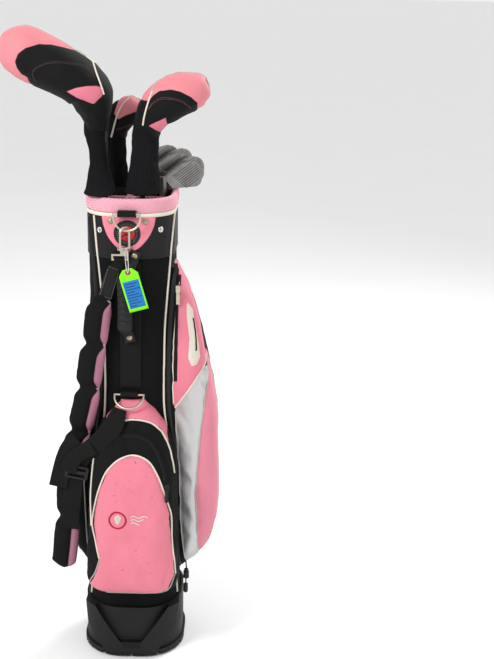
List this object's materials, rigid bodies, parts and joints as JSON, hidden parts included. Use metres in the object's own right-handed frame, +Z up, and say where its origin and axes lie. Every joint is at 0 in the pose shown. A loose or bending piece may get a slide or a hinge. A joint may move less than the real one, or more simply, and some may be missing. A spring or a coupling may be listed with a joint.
{
  "type": "golf club set",
  "caption": "Upright carry golf bag with ball and side pockets, shoulder strap, covered woods and loose irons that lift out.",
  "frame": {"origin": "centre of the base's resting face on the floor", "axes": "+Z up along the bag, -Y out of the ball pocket's front, +X to the right seen from the front"},
  "size_m": [0.376, 0.2842, 1.1796],
  "materials": {
    "black_moulding": "textured",
    "black_fabric": "woven",
    "pink_vinyl": "satin",
    "pink_mesh": "spacer mesh",
    "foam": "matte",
    "rod": "brushed",
    "hardware": "polished",
    "rivet_metal": "nickel plated",
    "webbing": "ribbed webbing",
    "grip_rubber": "matte",
    "soft_rubber": "matte",
    "cord": "braided",
    "tag_card": "matte",
    "wood_head": "gloss",
    "shaft_steel": "polished",
    "shaft_graphite": "gloss",
    "iron_steel": "satin",
    "cover_knit": "knit"
  },
  "bodies": {
    "bag": {"base_cup": "black_moulding", "base_feet": "soft_rubber", "inner_floor": "foam", "body_shell": "black_fabric", "stay_rods": "rod", "collar_frame": "black_moulding", "divider": "pink_mesh", "collar_pad": "pink_mesh", "top_cuff": "black_fabric", "shield_patch": "pink_vinyl", "dome_rivets": "rivet_metal", "ring_tabs": "webbing", "spine_webbing": "webbing", "handle_grip": "grip_rubber", "ball_pocket": "pink_vinyl", "right_pocket": "pink_vinyl", "left_pocket": "pink_vinyl", "retainer_cord": "cord", "cord_end": "black_moulding"},
    "upper_ring": {"upper_d_ring": "hardware"},
    "hook": {"snap_hook": "hardware"},
    "gate": {"snap_gate": "hardware"},
    "strap": {"swivel_eye": "hardware", "strap_top_webbing": "webbing", "strap_pad": "black_fabric", "strap_lower_webbing": "webbing"},
    "slider": {"strap_slider": "black_moulding"},
    "lower_ring": {"lower_d_ring": "hardware"},
    "ball_zip": {"ball_zip_slider": "hardware"},
    "right_zip": {"right_zip_slider": "hardware"},
    "lock": {"cord_lock": "black_moulding"},
    "tag": {"hang_tag": "tag_card"},
    "driver": {"driver_head": "wood_head", "driver_shaft": "shaft_graphite", "driver_grip": "grip_rubber", "driver_cover": "cover_knit"},
    "fairway": {"fairway_head": "wood_head", "fairway_shaft": "shaft_graphite", "fairway_grip": "grip_rubber", "fairway_cover": "cover_knit"},
    "hybrid": {"hybrid_head": "wood_head", "hybrid_shaft": "shaft_graphite", "hybrid_grip": "grip_rubber", "hybrid_cover": "cover_knit"},
    "iron_1": {"iron_1_head": "iron_steel", "iron_1_shaft": "shaft_steel", "iron_1_grip": "grip_rubber"},
    "iron_2": {"iron_2_head": "iron_steel", "iron_2_shaft": "shaft_steel", "iron_2_grip": "grip_rubber"},
    "iron_3": {"iron_3_head": "iron_steel", "iron_3_shaft": "shaft_steel", "iron_3_grip": "grip_rubber"},
    "iron_4": {"iron_4_head": "iron_steel", "iron_4_shaft": "shaft_steel", "iron_4_grip": "grip_rubber"},
    "iron_5": {"iron_5_head": "iron_steel", "iron_5_shaft": "shaft_steel", "iron_5_grip": "grip_rubber"}
  },
  "joints": [
    {"name": "upper_ring_lift", "type": "hinge", "parent": "bag", "child": "upper_ring", "pos_m": [0, -0.106, 0.872], "axis": [1, 0, 0], "range_deg": [-60, 0]},
    {"name": "hook_tilt", "type": "hinge", "parent": "upper_ring", "child": "hook", "pos_m": [0, -0.106, 0.843], "axis": [1, 0, 0], "range_deg": [-25, 0]},
    {"name": "gate_open", "type": "hinge", "parent": "hook", "child": "gate", "pos_m": [-0.01107, -0.11307, 0.812], "axis": [0.7071, -0.7071, 0], "range_deg": [-18, 0], "stiffness_Nm_per_rad": 0.02, "springref_deg": 11.46},
    {"name": "hook_swivel", "type": "hinge", "parent": "hook", "child": "strap", "pos_m": [-0.004, -0.106, 0.805], "axis": [0, 0, 1], "range_deg": [0, 10]},
    {"name": "slider_adjust", "type": "slide", "parent": "strap", "child": "slider", "axis": [-0.181, 0.0478, -0.9823], "range_m": [0, 0.04]},
    {"name": "lower_ring_lift", "type": "hinge", "parent": "bag", "child": "lower_ring", "pos_m": [0.001, -0.099, 0.541], "axis": [1, 0, 0], "range_deg": [-85, 0]},
    {"name": "ball_zip_run", "type": "hinge", "parent": "bag", "child": "ball_zip", "pos_m": [0.007, -0.15, 0.384], "axis": [0, -1, 0], "range_deg": [0, 180]},
    {"name": "right_zip_run", "type": "slide", "parent": "bag", "child": "right_zip", "axis": [0.0299, -0.0896, -0.9955], "range_m": [0, 0.14]},
    {"name": "cord_lock_slide", "type": "slide", "parent": "bag", "child": "lock", "axis": [0, 0, 1], "range_m": [-0.01, 0.012]},
    {"name": "tag_swing", "type": "hinge", "parent": "hook", "child": "tag", "pos_m": [-0.0014, -0.1088, 0.8135], "axis": [1, 0, 0], "range_deg": [-60, 0]},
    {"name": "driver_lift", "type": "slide", "parent": "bag", "child": "driver", "axis": [0, 0, 1], "range_m": [0, 0.9]},
    {"name": "fairway_lift", "type": "slide", "parent": "bag", "child": "fairway", "axis": [0, 0, 1], "range_m": [0, 0.9]},
    {"name": "hybrid_lift", "type": "slide", "parent": "bag", "child": "hybrid", "axis": [0, 0, 1], "range_m": [0, 0.9]},
    {"name": "iron_1_lift", "type": "slide", "parent": "bag", "child": "iron_1", "axis": [0, 0, 1], "range_m": [0, 0.9]},
    {"name": "iron_2_lift", "type": "slide", "parent": "bag", "child": "iron_2", "axis": [0, 0, 1], "range_m": [0, 0.9]},
    {"name": "iron_3_lift", "type": "slide", "parent": "bag", "child": "iron_3", "axis": [0, 0, 1], "range_m": [0, 0.9]},
    {"name": "iron_4_lift", "type": "slide", "parent": "bag", "child": "iron_4", "axis": [0, 0, 1], "range_m": [0, 0.9]},
    {"name": "iron_5_lift", "type": "slide", "parent": "bag", "child": "iron_5", "axis": [0, 0, 1], "range_m": [0, 0.9]}
  ]
}
